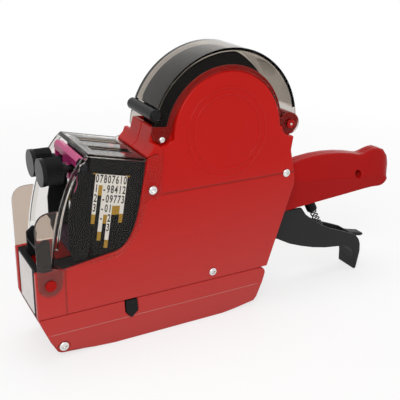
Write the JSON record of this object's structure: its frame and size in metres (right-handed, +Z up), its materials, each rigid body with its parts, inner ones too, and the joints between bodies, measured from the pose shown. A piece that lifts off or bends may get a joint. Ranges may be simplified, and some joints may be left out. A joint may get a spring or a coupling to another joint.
{
  "type": "price labeler",
  "caption": "Hand-held price labeler: squeeze trigger, sliding band-type print head under a smoked hood, label roll chamber under a hinged smoked lid, hinged bottom cover.",
  "frame": {"origin": "centre of the flat under the bottom cover, on the surface that the labeler stands on", "axes": "+X from the label outlet at the front to the grip at the back, +Y to the right of a user who holds the grip and faces the label outlet, +Z up"},
  "size_m": [0.2444, 0.0448, 0.1595],
  "materials": {
    "red_shell": "gloss moulded",
    "red_handle": "gloss moulded",
    "smoked_clear": "clear moulded, smoke tint",
    "black_plastic": "fine matt",
    "black_gloss": "gloss",
    "steel": "nickel plated",
    "spring_steel": "blackened",
    "magenta_plastic": "translucent gloss",
    "ink_foam": "porous matt",
    "rubber": "matt",
    "white_band": "matt",
    "printed_film": "printed film",
    "white_label": "coated sticker"
  },
  "bodies": {
    "frame": {"left_side_cover": "red_shell", "right_side_cover": "red_shell", "left_frame_plate": "black_plastic", "right_frame_plate": "black_plastic", "frame_spacers": "black_plastic", "chamber_floor": "black_plastic", "label_axle": "steel", "cover_pivots": "red_shell", "head_cover": "smoked_clear", "head_cover_screws": "steel", "body_screws": "steel", "handle_left": "red_handle", "handle_right": "red_handle", "handle_screw": "steel", "trigger_shaft": "steel", "trigger_spring": "spring_steel", "spring_cup": "black_plastic", "guide_rods": "steel", "ink_arm_pins": "steel", "platen": "steel", "peel_plate": "steel", "feed_axle": "steel", "front_plate": "black_plastic", "front_label": "white_label", "bottom_hinge_pin": "steel"},
    "trigger": {"trigger": "black_plastic", "drive_pin": "steel"},
    "print_head": {"print_head": "black_plastic", "type_bands": "white_band", "band_rollers": "black_plastic", "column_charts": "printed_film"},
    "left_selector": {"left_pointer": "red_shell"},
    "left_knob": {"left_knob": "black_gloss", "left_selector_shaft": "steel"},
    "right_selector": {"right_pointer": "red_shell"},
    "right_knob": {"right_knob": "black_gloss", "right_selector_shaft": "steel"},
    "ink_arm": {"ink_arm": "magenta_plastic", "ink_roller_axle": "steel"},
    "ink_roller": {"ink_roller": "ink_foam"},
    "label_cover": {"label_cover": "smoked_clear", "thumb_bar": "black_gloss", "cover_studs": "steel"},
    "label_hub": {"label_hub": "black_plastic"},
    "feed_wheel": {"feed_wheel": "black_plastic"},
    "bottom_cover": {"bottom_cover": "red_shell", "tray_tie_pin": "steel", "pinch_axle": "steel"},
    "pinch_roller": {"pinch_roller": "rubber"},
    "left_latch": {"left_latch": "black_gloss"},
    "right_latch": {"right_latch": "black_gloss"},
    "front_guard": {"left_guard": "smoked_clear", "right_guard": "smoked_clear", "guard_shaft": "red_shell"}
  },
  "joints": [
    {"name": "trigger_squeeze", "type": "hinge", "parent": "frame", "child": "trigger", "pos_m": [0.05, 0, 0.045], "axis": [0, -1, 0], "range_deg": [0, 17], "stiffness_Nm_per_rad": 3, "springref_deg": -14.32, "deforming": ["trigger_spring"]},
    {"name": "head_slide", "type": "slide", "parent": "frame", "child": "print_head", "axis": [0, 0, -1], "range_m": [0, 0.0086]},
    {"name": "left_select", "type": "slide", "parent": "print_head", "child": "left_selector", "axis": [-1, 0, 0], "range_m": [0, 0.014]},
    {"name": "left_knob_turn", "type": "hinge", "parent": "left_selector", "child": "left_knob", "pos_m": [-0.06, -0.008, 0.1035], "axis": [1, 0, 0], "continuous": true},
    {"name": "right_select", "type": "slide", "parent": "print_head", "child": "right_selector", "axis": [-1, 0, 0], "range_m": [0, 0.014]},
    {"name": "right_knob_turn", "type": "hinge", "parent": "right_selector", "child": "right_knob", "pos_m": [-0.06, 0.008, 0.1035], "axis": [1, 0, 0], "continuous": true},
    {"name": "ink_swing", "type": "hinge", "parent": "frame", "child": "ink_arm", "pos_m": [-0.048, 0, 0.1075], "axis": [0, 1, 0], "range_deg": [0, 12]},
    {"name": "ink_roller_turn", "type": "hinge", "parent": "ink_arm", "child": "ink_roller", "pos_m": [-0.0497, 0, 0.06], "axis": [0, 1, 0], "continuous": true},
    {"name": "lid_open", "type": "hinge", "parent": "frame", "child": "label_cover", "pos_m": [0.079, 0, 0.1137], "axis": [0, 1, 0], "range_deg": [0, 100]},
    {"name": "hub_turn", "type": "hinge", "parent": "frame", "child": "label_hub", "pos_m": [0.037, 0, 0.1137], "axis": [0, 1, 0], "continuous": true},
    {"name": "feed_turn", "type": "hinge", "parent": "frame", "child": "feed_wheel", "pos_m": [-0.024, 0, 0.0368], "axis": [0, 1, 0], "continuous": true},
    {"name": "bottom_open", "type": "hinge", "parent": "frame", "child": "bottom_cover", "pos_m": [0.062, 0, 0.0232], "axis": [0, -1, 0], "range_deg": [0, 40]},
    {"name": "pinch_turn", "type": "hinge", "parent": "bottom_cover", "child": "pinch_roller", "pos_m": [-0.024, 0, 0.027], "axis": [0, 1, 0], "continuous": true},
    {"name": "left_latch_press", "type": "slide", "parent": "bottom_cover", "child": "left_latch", "axis": [0, 1, 0], "range_m": [0, 0.0016], "stiffness_N_per_m": 300, "springref_m": -0.001},
    {"name": "right_latch_press", "type": "slide", "parent": "bottom_cover", "child": "right_latch", "axis": [0, -1, 0], "range_m": [0, 0.0016], "stiffness_N_per_m": 300, "springref_m": -0.001},
    {"name": "guard_open", "type": "hinge", "parent": "frame", "child": "front_guard", "pos_m": [-0.0678, 0, 0.047], "axis": [0, -1, 0], "range_deg": [0, 75]}
  ],
  "couplings": [
    {"joint": "head_slide", "follows": "trigger_squeeze", "m_per_rad": 0.028894},
    {"joint": "ink_swing", "follows": "trigger_squeeze", "ratio": 0.7}
  ]
}
